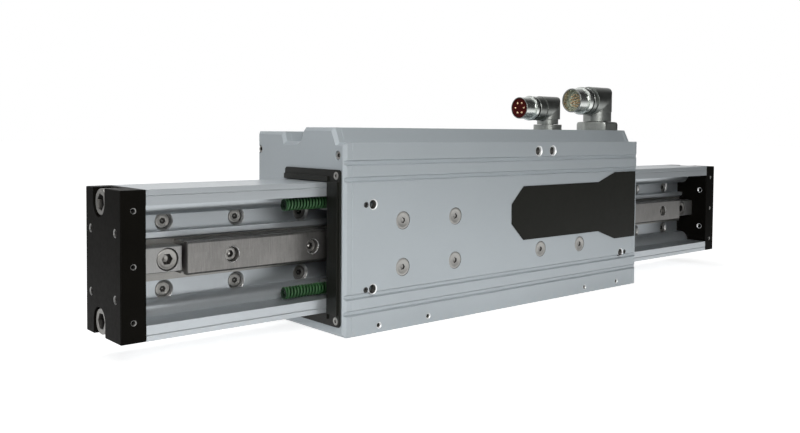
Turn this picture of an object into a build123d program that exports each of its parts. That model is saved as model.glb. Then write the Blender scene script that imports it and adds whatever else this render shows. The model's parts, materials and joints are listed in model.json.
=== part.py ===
from build123d import *
import os
from math import cos, pi, sin

# Linear thruster: a fixed housing round a long slide that runs through it.
# Frame: X along the travel, Y from the front to the rear, Z up.
# The origin is the centre of the housing's underside. Millimetres.

# Housing
housing_length = 328.0
housing_depth = 106.0
cap_thickness = 6.5
cap_bevel = 2.2
seam_bevel = 0.3
crown_height = 137.0
crown_rise = 10.0
crown_front = 13.3
crown_slope = 5.0
crown_width = 33.2
crown_fall = 3.0
crown_cove = 7.0
valley_end = 70.0
shoulder_drop = 3.0
shoulder_slope = 2.6
groove_width = 3.8
groove_floor = 2.0
groove_depth = 1.6
low_groove_heights = (15.5, 26.2)
high_groove_drops = (23.9, 13.0)

# Slide
slide_length = 632.0
slide_height = 86.0
slide_depth = 50.0
slide_setback = 16.0
slide_lift = 15.0
slide_offset = 10.2
end_plate_thickness = 15.0

# Beam section, measured from the slide's front face and underside
flange_thickness = 9.1
boss_setback = 20.5
boss_height = 17.5
boss_round = 8.0
web_setback = 32.8
web_thickness = 7.2
seat_setback = 30.3
seat_overhang = 4.6
datum_rise = 3.0
datum_width = 4.6
datum_gap = 0.7
score_inset = 3.4
score_size = 0.7

# Guide rail and its bearing blocks
rail_end_gap = 1.4
rail_width = 20.0
rail_height = 19.0
rail_pitch = 60.0
rail_chamfer = 1.2
raceway_depth = 1.2
raceway_inset = 7.2
raceway_width = 3.6
rail_counterbore = 9.8
rail_counterbore_depth = 8.0
block_length = 66.0
block_width = 44.0
block_height = 30.0
block_ground_gap = 5.0
block_running_gap = 0.4
block_seal_length = 11.5
block_inset_left = 75.2
block_inset_right = 107.6
block_hole_spacing_x = 50.0
block_hole_spacing_z = 32.0

# Stop blocks at the ends of the rail
stop_length = 29.6
stop_width = 15.2
stop_height = 14.6
stop_screw_inset = 20.3
stop_counterbore = 13.8
stop_screw_recess = 0.6

# Magnet track on the rear of the web
magnet_plate_thickness = 5.0
magnet_plate_margin = 16.5
magnet_pitch = 24.0
magnet_length = 20.0
magnet_edge = 3.5
magnet_thickness = 4.4
track_fit = 0.2
track_end_gap = 1.0
track_screw_inset = 41.0
track_screw_pitch = 50.0
track_screw_margin = 22.0
scale_width = 10.0
scale_thickness = 1.0
scale_inset = 7.5
scale_fit = 0.1

# Tunnel through the housing and what it holds
tunnel_gap = 1.6
pad_width = 46.0
rear_wall = 8.8
duct_floor = 5.4
duct_roof = 6.0
duct_wall = 5.0
air_gap = 1.0
coil_tooth_pitch = 16.0
coil_tooth_count = 15
coil_tooth_width = 8.0
coil_back = 10.2
coil_wire_gap = 0.3
coil_wire_recess = 1.5
head_length = 46.0
head_width = 13.0
head_depth = 16.0

# Seal frame on each end of the housing
frame_rim = 8.4
frame_rear = 14.0
frame_side_inset = 3.3
frame_plate = 1.6
frame_post = 2.8
frame_post_inset = 1.2
frame_lip_height = 3.6
frame_lip_shift = 0.4
frame_wiper_gap = 0.5
frame_corner = 1.4
frame_screw_inset = 3.9

# Bumper springs
spring_radius = 4.1
spring_wire = 1.5
spring_wire_depth = 1.3
spring_turns = 11
spring_sides = 6
spring_reach = 28.5
spring_setback = 10.8
spring_rise = 14.3
spring_seat_recess = 4.5
seat_length = 11.0
seat_plate = 4.0
seat_clearance = 0.5
seat_reach = 5.7

# Threaded and bored holes on the outside
mount_hole_radius = 3.4
mount_hole_depth = 13.0
mount_hole_inset = 24.0
mount_hole_rise = 28.2
dowel_radius = 1.5
dowel_depth = 8.0
dowel_offset = 6.0
strip_hole_radius = 2.1
strip_hole_depth = 12.0
strip_hole_height = 4.7
strip_hole_insets = (29.5, 74.5)
port_radius = 4.05
port_drop = 7.0
port_insets = (135.9, 118.7)
plate_hole_radius = 2.5
plate_hole_spacing_y = 35.5
plate_hole_spacing_z = 37.3
plate_hole_inset = 7.25
edge_hole_radius = 1.75
edge_hole_depth = 9.0
edge_hole_spacing = 31.4

# Label panel, drawn from the housing's right-hand end
label_thickness = 0.6
label_height = 71.8
label_margin = 4.2
label_wide = (57.9, 30.0)
label_main = (42.0, 53.4)
label_tip = (15.4, 149.5, 163.2)

# Fasteners: head radius, head height, shank radius, shank length, socket across corners.
# The small ones repeat often, so they have few sides, and most are heads alone.
fastener_sides = 8
m10_cap = (8.0, 10.0, 5.0, 36.0, 9.2)
m8_cap = (6.4, 8.0, 4.0, 14.5, 6.9)
m5_cap = (4.25, 5.0, 0.0, 0.0, 0.0)
m3_cap = (2.75, 2.4, 0.0, 0.0, 0.0)
m6_sunk = (6.0, 3.3, 3.0, 17.5, 0.0)
m6_deep = (5.8, 2.4, 0.0, 0.0, 0.0)
m3_sunk = (2.9, 1.2, 0.0, 0.0, 0.0)
screw_fit = 0.15
web_screw_recess = 1.2
plate_head_recess = 1.0
plate_slot_radius = 8.6
cap_screw_recess = 0.6
cap_screw_front = 7.2
cap_screw_rear = 3.6
cap_screw_drop = 8.2
cap_screw_shoulder = 13.0
cap_screw_foot = 10.0
plate_screw_setback = 30.5
plate_screw_rise = 8.3

# Connectors: distance from the housing's right-hand end, then their own sizes
connector_setback = 29.9
power_inset = 89.7
feedback_inset = 20.3
swivel_fit = 0.05
swivel_lift = 0.3
pin_sides = 4
core_sides = 6
insert_sides = 16

power = dict(
    base_sides=0, base=11.8, base_height=4.3, spigot=5.0, neck=8.9, waist=8.8, axis=17.7,
    body=10.4, ring_at=12.8, ring_width=2.6, ring=10.4, collar=10.2, collar_at=25.8,
    sleeve=8.8, face=36.6, wall=1.3, cavity=10.5, insert=9.3, pin_tip=0.6,
    pin_rings=(4.5,), pin_counts=(6,), pin_radius=0.9,
)
feedback = dict(
    base_sides=6, base=18.1, base_height=7.4, spigot=7.0, neck=12.4, waist=16.3, axis=25.8,
    body=12.8, ring_at=15.9, ring_width=2.8, ring=12.4, collar=12.2, collar_at=27.0,
    sleeve=10.5, face=37.4, wall=1.4, cavity=11.0, insert=2.5, pin_tip=4.5,
    pin_rings=(5.2, 2.6), pin_counts=(11, 6), pin_radius=0.5,
)

# Places worked out from the sizes above
half_length = housing_length / 2
front = -housing_depth / 2
rear = housing_depth / 2
body_end = half_length - cap_thickness
shelf_height = crown_height - crown_rise
shoulder_height = crown_height - shoulder_drop
groove_heights = low_groove_heights + tuple(shelf_height - drop for drop in high_groove_drops)
port_height = shelf_height - port_drop
port_places = [half_length - inset for inset in port_insets]
power_place = half_length - power_inset
feedback_place = half_length - feedback_inset
slide_front = front + slide_setback
slide_rear = slide_front + slide_depth
slide_top = slide_lift + slide_height
axis_height = slide_lift + slide_height / 2
slide_left = slide_offset - slide_length / 2
slide_right = slide_offset + slide_length / 2
beam_left = slide_left + end_plate_thickness
beam_right = slide_right - end_plate_thickness
beam_length = beam_right - beam_left
rail_length = beam_length - 2 * (stop_length + rail_end_gap)
magnet_plate_width = slide_height - 2 * magnet_plate_margin
magnet_width = magnet_plate_width - 2 * magnet_edge
track_screw_rise = slide_height / 2 - track_screw_margin
scale_height = slide_height - scale_inset
web_face = slide_front + web_setback
web_rear = web_face + web_thickness
seat_face = slide_front + seat_setback
rail_face = seat_face - rail_height
pad_face = seat_face - block_height
tunnel_front = slide_front - tunnel_gap
tunnel_rear = slide_rear + tunnel_gap
tunnel_floor = slide_lift - tunnel_gap
tunnel_roof = slide_top + tunnel_gap
chamber_rear = rear - rear_wall
coil_face = slide_rear + air_gap
coil_length = coil_tooth_pitch * coil_tooth_count
coil_width = magnet_width
coil_slot_depth = chamber_rear - coil_face - coil_back
crown_edge = front + crown_front
crown_rear = crown_edge + crown_width
duct_bottom = tunnel_roof + duct_floor
spring_line = slide_front + spring_setback
spring_offset = slide_height / 2 - spring_rise
connector_line = front + connector_setback
block_places = (block_inset_left - half_length, half_length - block_inset_right)
ends = {"left": -1, "right": 1}

front_plane = Plane.XZ.offset(-front)
side_plane = Plane.YZ


def end_plane(side, x):
    """A plane at x that faces away from the housing's middle on the given side."""
    if side > 0:
        return Plane(origin=(x, 0, 0), x_dir=(0, 1, 0), z_dir=(1, 0, 0))
    return Plane(origin=(x, 0, 0), x_dir=(0, -1, 0), z_dir=(-1, 0, 0))


def spots(plane, points):
    """Locations on a plane, one for each pair of its own coordinates."""
    return [plane.location * Location((a, b)) for a, b in points]


def end_spots(side, x, points):
    """Locations on an end plane, from (y, z) in the part's own frame."""
    return spots(end_plane(side, x), [(side * y, z) for y, z in points])


def prisms(places, radius, near, far, sides=fastener_sides, mode=Mode.ADD):
    """Add or cut a prism between two depths below each place; the radius is to its corners."""
    with BuildSketch(*[Plane(p * Location((0, 0, -near))) for p in places]) as outline:
        RegularPolygon(radius, sides)
    extrude(outline.sketch, amount=near - far, mode=mode)


def cut_seats(places, size, recess=0.0):
    """Cut the clearance for each screw's head, and for its shank if it has one."""
    head, height, shank, length, socket = size
    across = cos(pi / fastener_sides)
    prisms(places, (head + screw_fit) / across, 0, recess + height, mode=Mode.SUBTRACT)
    if length:
        prisms(places, shank + screw_fit, 0, recess + height + length + screw_fit,
               mode=Mode.SUBTRACT)


def screws_at(places, size, recess=0.0):
    """Screws whose heads lie below each place by the recess."""
    head, height, shank, length, socket = size
    with BuildPart() as screws:
        prisms(places, head, recess, recess + height)
        if length:
            prisms(places, shank, recess + height, recess + height + length)
        if socket:
            prisms(places, socket / 2, recess, recess + height * 0.6, 6, Mode.SUBTRACT)
    return screws


def save(part, label):
    """Name a finished piece and write it to its own file."""
    part.part.label = label
    export_step(part.part, f"parts/{label}.step")


os.makedirs("parts", exist_ok=True)


# Housing section


def housing_outline():
    """The outer line of the housing's section, front at the left."""
    with BuildLine() as line:
        crown_foot = crown_edge - crown_slope
        cove_head = crown_rear + crown_fall
        cove_foot = cove_head + crown_cove
        Polyline((cove_foot, shelf_height), (front + valley_end, shelf_height),
                 (front + valley_end + shoulder_slope, shoulder_height),
                 (rear, shoulder_height), (rear, 0), (front, 0), (front, shelf_height),
                 (crown_foot, shelf_height), (crown_edge, crown_height),
                 (crown_rear, crown_height),
                 (cove_head, shelf_height + crown_cove))
        RadiusArc((cove_head, shelf_height + crown_cove), (cove_foot, shelf_height), -crown_cove)
    return line


def cut_grooves(x_from, x_to):
    """Cut the grooves that run along the housing's front face."""
    with BuildSketch(side_plane.offset(x_from)) as grooves:
        for z in groove_heights:
            with BuildLine():
                Polyline((front, z - groove_width / 2), (front + groove_depth, z - groove_floor / 2),
                         (front + groove_depth, z + groove_floor / 2), (front, z + groove_width / 2),
                         close=True)
            make_face()
    extrude(grooves.sketch, amount=x_to - x_from, mode=Mode.SUBTRACT)


block_screw_spots = spots(front_plane, [
    (place + i * block_hole_spacing_x / 2, axis_height + j * block_hole_spacing_z / 2)
    for place in block_places for i in (-1, 1) for j in (-1, 1)])
cap_screw_points = [(front + cap_screw_front, shelf_height - cap_screw_drop),
                    (rear - cap_screw_rear, shoulder_height - cap_screw_shoulder),
                    (rear - cap_screw_rear, cap_screw_foot)]
frame_top = slide_top + frame_rim
frame_bottom = slide_lift - frame_rim
frame_front = front + frame_side_inset
frame_screw_points = [(frame_front + frame_screw_inset, frame_top - frame_screw_inset),
                      (frame_front + frame_screw_inset, frame_bottom + frame_screw_inset)]
with BuildPart() as housing_body:
    with BuildSketch(side_plane.offset(-body_end)):
        with BuildLine():
            add(housing_outline())
        make_face()
    extrude(amount=2 * body_end)
    ends_edges = housing_body.faces().filter_by(Axis.X).edges()
    chamfer(ends_edges, seam_bevel)
    cut_grooves(-body_end, body_end)
    with BuildSketch(side_plane.offset(-body_end)):
        with Locations(((tunnel_front + chamber_rear) / 2, (tunnel_floor + tunnel_roof) / 2)):
            Rectangle(chamber_rear - tunnel_front, tunnel_roof - tunnel_floor)
        with Locations(((tunnel_front + pad_face) / 2, axis_height)):
            Rectangle(pad_face - tunnel_front, pad_width, mode=Mode.SUBTRACT)
        duct_top = crown_height - duct_roof
        duct_front = crown_edge + duct_wall
        duct_rear = crown_rear - duct_wall
        with Locations(((duct_front + duct_rear) / 2, (duct_bottom + duct_top) / 2)):
            Rectangle(duct_rear - duct_front, duct_top - duct_bottom)
        vent_front = front + valley_end + shoulder_slope + duct_wall
        vent_rear = rear - rear_wall
        vent_top = shoulder_height - duct_roof
        with Locations(((vent_front + vent_rear) / 2, (duct_bottom + vent_top) / 2)):
            Rectangle(vent_rear - vent_front, vent_top - duct_bottom)
    extrude(amount=2 * body_end, mode=Mode.SUBTRACT)
    cut_seats(block_screw_spots, m6_sunk)
    corners = ((-1, -1), (-1, 1), (1, -1))
    with Locations(*spots(front_plane, [
            (i * (half_length - mount_hole_inset), axis_height + j * mount_hole_rise)
            for i, j in corners])):
        Hole(mount_hole_radius, mount_hole_depth)
    dowel_places = spots(front_plane, [
        (i * (half_length - mount_hole_inset + dowel_offset), axis_height + j * mount_hole_rise)
        for i, j in corners])
    prisms(dowel_places, dowel_radius, 0, dowel_depth, mode=Mode.SUBTRACT)
    strip_places = spots(front_plane, [(i * (half_length - inset), strip_hole_height)
                                       for i in (-1, 1) for inset in strip_hole_insets])
    prisms(strip_places, strip_hole_radius, 0, strip_hole_depth, mode=Mode.SUBTRACT)
    with Locations(*spots(front_plane, [(x, port_height) for x in port_places])):
        Hole(port_radius, duct_front - front + 2)
save(housing_body, "housing_body")


def make_end_cap(side):
    """A flat cap with the housing's outline and a window for the slide."""
    inner = side * body_end
    outer = side * half_length
    with BuildPart() as cap:
        with BuildSketch(side_plane.offset(inner)):
            with BuildLine():
                add(housing_outline())
            make_face()
        extrude(amount=outer - inner)
        face = cap.faces().sort_by(Axis.X)[-1 if side > 0 else 0]
        chamfer(face.edges(), cap_bevel)
        seam = cap.faces().sort_by(Axis.X)[0 if side > 0 else -1]
        chamfer(seam.edges(), seam_bevel)
        cut_grooves(min(inner, outer), max(inner, outer))
        with BuildSketch(side_plane.offset(inner)):
            with Locations(((tunnel_front + tunnel_rear) / 2, axis_height)):
                Rectangle(tunnel_rear - tunnel_front, tunnel_roof - tunnel_floor)
        extrude(amount=outer - inner, mode=Mode.SUBTRACT)
        cut_seats(end_spots(side, outer, cap_screw_points), m3_cap, cap_screw_recess)
    return cap


def make_seal_frame(side):
    """A C-shaped black frame with a raised post and a wiper lip along the slide's top."""
    base = side * half_length
    inner_front = slide_front - frame_wiper_gap
    inner_top = slide_top + frame_wiper_gap
    inner_bottom = slide_lift - frame_wiper_gap
    with BuildPart() as frame:
        with BuildSketch(side_plane.offset(base)) as plate:
            with Locations(((frame_front + frame_rear) / 2, axis_height)):
                Rectangle(frame_rear - frame_front, frame_top - frame_bottom)
            chamfer(vertices(), frame_corner)
            with Locations((frame_rear, axis_height)):
                Rectangle(2 * (frame_rear - inner_front), inner_top - inner_bottom,
                          mode=Mode.SUBTRACT)
        extrude(amount=side * frame_plate)
        post_front = frame_front + frame_post_inset
        with BuildSketch(side_plane.offset(base)):
            with Locations(((post_front + inner_front) / 2, axis_height)):
                Rectangle(inner_front - post_front, inner_top - inner_bottom)
        extrude(amount=side * frame_post)
        with BuildSketch(side_plane.offset(base)):
            for z in (inner_top + frame_lip_height / 2, inner_bottom - frame_lip_height / 2):
                with Locations(((inner_front + frame_rear) / 2 - frame_lip_shift, z)):
                    Rectangle(frame_rear - inner_front, frame_lip_height)
        extrude(amount=side * frame_post)
        cut_seats(end_spots(side, base + side * frame_plate, frame_screw_points), m3_sunk)
    return frame


def make_spring_seat(side):
    """A bracket on the bearing pad with a lug behind each bumper spring."""
    face = half_length - spring_seat_recess
    lug_rear = spring_line + seat_reach
    lug_inner = pad_width / 2 + seat_clearance
    lug_outer = slide_height / 2 - flange_thickness - seat_clearance
    with BuildPart() as seat:
        with BuildSketch(side_plane.offset(side * face)):
            with Locations((pad_face + seat_plate / 2, axis_height)):
                Rectangle(seat_plate, 2 * spring_offset)
            for j in (-1, 1):
                with Locations(((tunnel_front + lug_rear) / 2,
                                axis_height + j * (lug_inner + lug_outer) / 2)):
                    Rectangle(lug_rear - tunnel_front, lug_outer - lug_inner)
        extrude(amount=-side * seat_length)
    return seat


def make_spring(side, j):
    """A die spring of flat wire, from its seat to its free end."""
    start = half_length - spring_seat_recess
    reach = half_length + spring_reach - start
    wire_radius = spring_radius - spring_wire_depth / 2
    steps = spring_turns * spring_sides
    advance = (reach - spring_wire) / steps
    points = [(side * (start + spring_wire / 2 + i * advance),
               spring_line + wire_radius * cos(2 * pi * i / spring_sides),
               axis_height + j * spring_offset + wire_radius * sin(2 * pi * i / spring_sides))
              for i in range(steps + 1)]
    with BuildPart() as spring:
        with BuildLine() as coil:
            Polyline(*points)
        with BuildSketch(Plane(coil.line @ 0, x_dir=(1, 0, 0), z_dir=coil.line % 0)):
            Rectangle(spring_wire, spring_wire_depth)
        sweep(transition=Transition.RIGHT)
    return spring


for name, side in ends.items():
    save(make_end_cap(side), f"end_cap_{name}")
    save(make_seal_frame(side), f"seal_frame_{name}")
    save(make_spring_seat(side), f"spring_seat_{name}")
    save(make_spring(side, 1), f"bumper_spring_{name}_upper")
    save(make_spring(side, -1), f"bumper_spring_{name}_lower")

both_caps = [p for side in ends.values() for p in end_spots(side, side * half_length, cap_screw_points)]
save(screws_at(both_caps, m3_cap, cap_screw_recess), "end_cap_screws")
both_frames = [p for side in ends.values()
               for p in end_spots(side, side * (half_length + frame_plate), frame_screw_points)]
save(screws_at(both_frames, m3_sunk), "seal_frame_screws")


# Bearing blocks on the rail


def make_block(place):
    """A runner block: a U section that holds the rail's head on both sides."""
    block_rear = seat_face - block_ground_gap
    slot_front = rail_face - block_running_gap
    with BuildPart() as block:
        with BuildSketch(side_plane.offset(place - block_length / 2)):
            with Locations(((pad_face + block_rear) / 2, axis_height)):
                Rectangle(block_rear - pad_face, block_width)
            chamfer(vertices(), 1.5)
            with Locations(((slot_front + block_rear) / 2 + 1, axis_height)):
                Rectangle(block_rear - slot_front + 2, rail_width + 2 * block_running_gap,
                          mode=Mode.SUBTRACT)
        extrude(amount=block_length)
        cut_seats(block_screw_spots, m6_sunk)
    return block


def make_block_seals(place):
    """The plastic end caps of one runner block, cut out round the rail."""
    seal_front = pad_face + 1.2
    seal_rear = seat_face - block_ground_gap - 1.0
    slot_front = rail_face - block_running_gap
    with BuildPart() as seals:
        for side in (-1, 1):
            with BuildSketch(side_plane.offset(place + side * block_length / 2)):
                with Locations(((seal_front + seal_rear) / 2, axis_height)):
                    Rectangle(seal_rear - seal_front, block_width - 2)
                chamfer(vertices(), 2.5)
                with Locations(((slot_front + seal_rear) / 2 + 1, axis_height)):
                    Rectangle(seal_rear - slot_front + 2, rail_width + 2 * block_running_gap,
                              mode=Mode.SUBTRACT)
            extrude(amount=side * block_seal_length)
    return seals


for name, place in zip(ends, block_places):
    save(make_block(place), f"bearing_block_{name}")
    save(make_block_seals(place), f"bearing_seals_{name}")
save(screws_at(block_screw_spots, m6_sunk), "bearing_block_screws")


# Motor coil and encoder head in the rear of the tunnel

with BuildPart() as coil_core:
    slot_count = coil_tooth_count - 1
    with BuildSketch(Plane.XY.offset(axis_height - coil_width / 2)):
        with Locations((0, (coil_face + chamber_rear) / 2)):
            Rectangle(coil_length, chamber_rear - coil_face)
        with Locations((0, coil_face + coil_slot_depth / 2)):
            with GridLocations(coil_tooth_pitch, 1, slot_count, 1):
                Rectangle(coil_tooth_pitch - coil_tooth_width, coil_slot_depth,
                          mode=Mode.SUBTRACT)
    extrude(amount=coil_width)
save(coil_core, "coil_core")

with BuildPart() as coil_windings:
    side_width = coil_tooth_pitch - coil_tooth_width - 2 * coil_wire_gap
    wound = (coil_tooth_count - 1) // 2
    with BuildSketch(Plane.XZ.offset(-coil_face - coil_wire_recess)):
        with Locations((0, axis_height)):
            with GridLocations(2 * coil_tooth_pitch, 1, wound, 1):
                Rectangle(coil_tooth_width + 2 * (side_width + coil_wire_gap),
                          coil_width + 2 * (side_width + coil_wire_gap))
            chamfer(vertices(), side_width / 2)
            with GridLocations(2 * coil_tooth_pitch, 1, wound, 1):
                Rectangle(coil_tooth_width + 2 * coil_wire_gap, coil_width + 2 * coil_wire_gap,
                          mode=Mode.SUBTRACT)
    extrude(amount=-(coil_slot_depth - coil_wire_recess - coil_wire_gap))
save(coil_windings, "coil_windings")

with BuildPart() as encoder_head:
    with Locations((0, slide_rear + air_gap, tunnel_roof)):
        Box(head_length, head_depth, head_width,
            align=(Align.CENTER, Align.MIN, Align.MAX))
    chamfer(encoder_head.edges().filter_by(Axis.Y), 1.5)
save(encoder_head, "encoder_head")


# Label panel: a bare black plate on the right of the front face

with BuildPart() as label_panel:
    with BuildSketch(front_plane):
        with BuildLine():
            right = half_length - label_margin
            upper = [(right, label_wide[0] / 2), (right - label_wide[1], label_wide[0] / 2),
                     (right - label_main[1], label_main[0] / 2),
                     (right - label_tip[1], label_main[0] / 2),
                     (right - label_tip[2], label_tip[0] / 2)]
            lower = [(x, -z) for x, z in reversed(upper)]
            Polyline([(x, label_height + z) for x, z in upper + lower], close=True)
        make_face()
    extrude(amount=label_thickness)
save(label_panel, "label_panel")


# Slide


def lower_half():
    """Beam section points below the web's middle, from the front flange inwards."""
    return [(0, 0), (0, score_inset - score_size / 2), (score_size / 2, score_inset),
            (0, score_inset + score_size / 2), (0, flange_thickness),
            (boss_setback, flange_thickness)]


with BuildPart() as slide_beam:
    with BuildSketch(side_plane.offset(beam_left)):
        with BuildLine():
            start = [(slide_front + y, slide_lift + z) for y, z in lower_half()]
            finish = [(y, 2 * axis_height - z) for y, z in reversed(start)]
            boss_low = slide_lift + boss_height
            boss_high = slide_top - boss_height
            boss_face = slide_front + boss_setback
            seat_low = axis_height - rail_width / 2 - seat_overhang
            seat_high = axis_height + rail_width / 2 + datum_gap
            datum_face = seat_face - datum_rise
            Polyline(start + [(boss_face, boss_low - boss_round)])
            RadiusArc((boss_face, boss_low - boss_round), (boss_face + boss_round, boss_low),
                      boss_round)
            Polyline((boss_face + boss_round, boss_low), (web_face, boss_low),
                     (web_face, seat_low), (seat_face, seat_low), (seat_face, seat_high),
                     (datum_face, seat_high + 1.2), (datum_face, seat_high + datum_width),
                     (web_face, seat_high + datum_width), (web_face, boss_high),
                     (boss_face + boss_round, boss_high))
            RadiusArc((boss_face + boss_round, boss_high), (boss_face, boss_high + boss_round),
                      boss_round)
            scale_low = slide_lift + scale_height - scale_width / 2
            scale_high = slide_lift + scale_height + scale_width / 2
            track_low = axis_height - magnet_plate_width / 2
            track_high = axis_height + magnet_plate_width / 2
            Polyline([(boss_face, boss_high + boss_round)] + finish
                     + [(slide_rear, slide_top), (slide_rear, scale_high),
                        (slide_rear - scale_thickness, scale_high),
                        (slide_rear - scale_thickness, scale_low), (slide_rear, scale_low),
                        (slide_rear, track_high), (web_rear, track_high),
                        (web_rear, track_low), (slide_rear, track_low),
                        (slide_rear, slide_lift), start[0]])
        make_face()
    extrude(amount=beam_length)
    web_plane = Plane.XZ.offset(-web_face)
    screw_total = int((slide_length - 2 * track_screw_inset) / track_screw_pitch) + 1
    track_points = [(slide_offset + (i - (screw_total - 1) / 2) * track_screw_pitch,
                     axis_height + j * track_screw_rise)
                    for i in range(screw_total) for j in (-1, 1)]
    cut_seats(spots(web_plane, track_points), m6_deep, web_screw_recess)
    rail_total = round(rail_length / rail_pitch)
    rail_points = [(slide_offset + (i - (rail_total - 1) / 2) * rail_pitch, axis_height)
                   for i in range(rail_total)]
    stop_points = [(beam_left + stop_screw_inset, axis_height),
                   (beam_right - stop_screw_inset, axis_height)]
    stop_places = spots(Plane.XZ.offset(-(seat_face - stop_height)), stop_points)
    cut_seats(stop_places, m8_cap, stop_screw_recess)
    for side, x in ((-1, beam_left), (1, beam_right)):
        plate_screw_points = [(slide_front + plate_screw_setback, slide_lift + plate_screw_rise),
                              (slide_front + plate_screw_setback, slide_top - plate_screw_rise)]
        outer = x + side * end_plate_thickness
        cut_seats(end_spots(side, outer, plate_screw_points), m10_cap, plate_head_recess)
save(slide_beam, "slide_beam")

with BuildPart() as guide_rail:
    with BuildSketch(side_plane.offset(slide_offset - rail_length / 2)):
        with Locations(((rail_face + seat_face) / 2, axis_height)):
            Rectangle(rail_height, rail_width)
        chamfer(vertices(), rail_chamfer)
        with Locations(*[(rail_face + raceway_inset, axis_height + j * rail_width / 2)
                         for j in (-1, 1)]):
            Rectangle(raceway_width, 2 * raceway_depth, mode=Mode.SUBTRACT)
    extrude(amount=rail_length)
    rail_places = spots(Plane.XZ.offset(-rail_face), rail_points)
    prisms(rail_places, rail_counterbore / 2 / cos(pi / fastener_sides), 0,
           rail_counterbore_depth, mode=Mode.SUBTRACT)
save(guide_rail, "guide_rail")
save(screws_at(rail_places, m5_cap, rail_counterbore_depth - m5_cap[1]), "rail_screws")


def make_end_plate(side):
    """A black plate across the end of the beam, with open slots for two screw heads."""
    outer = slide_left if side < 0 else slide_right
    inner = beam_left if side < 0 else beam_right
    middle = (slide_front + slide_rear) / 2
    with BuildPart() as plate:
        with BuildSketch(side_plane.offset(inner)):
            with Locations((middle, axis_height)):
                Rectangle(slide_depth, slide_height)
        extrude(amount=outer - inner)
        chamfer(plate.edges(), 0.4)
        floor = m10_cap[1] + plate_head_recess
        with BuildSketch(side_plane.offset(outer)):
            for y, z in plate_screw_points:
                edge = slide_lift if z < axis_height else slide_top
                with Locations((y, z)):
                    Circle(plate_slot_radius)
                with Locations((y, edge)):
                    Rectangle(2 * plate_slot_radius, 2 * abs(edge - z))
        extrude(amount=-side * floor, mode=Mode.SUBTRACT)
        prisms(end_spots(side, outer, plate_screw_points), m10_cap[2] + screw_fit, 0,
               end_plate_thickness, mode=Mode.SUBTRACT)
        with Locations(*end_spots(side, outer, [
                (slide_front + plate_hole_inset + i * plate_hole_spacing_y,
                 axis_height + j * plate_hole_spacing_z / 2) for i in (0, 1) for j in (-1, 1)])):
            Hole(plate_hole_radius, end_plate_thickness)
        edge_plane = Plane.XZ.offset(-slide_front)
        edge_places = spots(edge_plane, [((outer + inner) / 2, axis_height + j * edge_hole_spacing)
                                         for j in (-1, 0, 1)])
        prisms(edge_places, edge_hole_radius, 0, edge_hole_depth, mode=Mode.SUBTRACT)
    return plate


def make_stop_block(side):
    """A plain block bolted to the rail's seat between the rail and the end plate."""
    x = (beam_left if side < 0 else beam_right) - side * stop_length / 2
    screw_x = stop_points[0 if side < 0 else 1][0]
    block_face = seat_face - stop_height
    with BuildPart() as block:
        with Locations((x, seat_face, axis_height)):
            Box(stop_length, stop_height, stop_width,
                align=(Align.CENTER, Align.MAX, Align.CENTER))
        chamfer(block.edges(), 0.4)
        place = spots(Plane.XZ.offset(-block_face), [(screw_x, axis_height)])
        cut_seats(place, m8_cap, stop_screw_recess)
        with Locations(*place):
            Hole(stop_counterbore / 2, m8_cap[1] + stop_screw_recess)
    return block


for name, side in ends.items():
    save(make_end_plate(side), f"end_plate_{name}")
    save(make_stop_block(side), f"stop_block_{name}")
both_plates = (end_spots(-1, slide_left, plate_screw_points)
               + end_spots(1, slide_right, plate_screw_points))
save(screws_at(both_plates, m10_cap, plate_head_recess), "end_plate_screws")
save(screws_at(stop_places, m8_cap, stop_screw_recess), "stop_block_screws")

with BuildPart() as magnet_plate:
    with Locations((slide_offset, web_rear, axis_height)):
        Box(beam_length - 2 * track_end_gap, magnet_plate_thickness,
            magnet_plate_width - 2 * track_fit,
            align=(Align.CENTER, Align.MIN, Align.CENTER))
save(magnet_plate, "magnet_plate")

with BuildPart() as magnets:
    magnet_total = int((beam_length - 2 * track_end_gap) / magnet_pitch)
    with Locations((slide_offset, web_rear + magnet_plate_thickness, axis_height)):
        with GridLocations(magnet_pitch, 1, magnet_total, 1):
            Box(magnet_length, magnet_thickness, magnet_width,
                align=(Align.CENTER, Align.MIN, Align.CENTER))
save(magnets, "magnets")
save(screws_at(spots(web_plane, track_points), m6_deep, web_screw_recess),
     "magnet_plate_screws")

with BuildPart() as encoder_scale:
    with Locations((slide_offset, slide_rear - scale_thickness, slide_lift + scale_height)):
        Box(beam_length - 2 * track_end_gap, scale_thickness - scale_fit,
            scale_width - 2 * scale_fit,
            align=(Align.CENTER, Align.MIN, Align.CENTER))
save(encoder_scale, "encoder_scale")


# Rotating right-angle connectors


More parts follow.
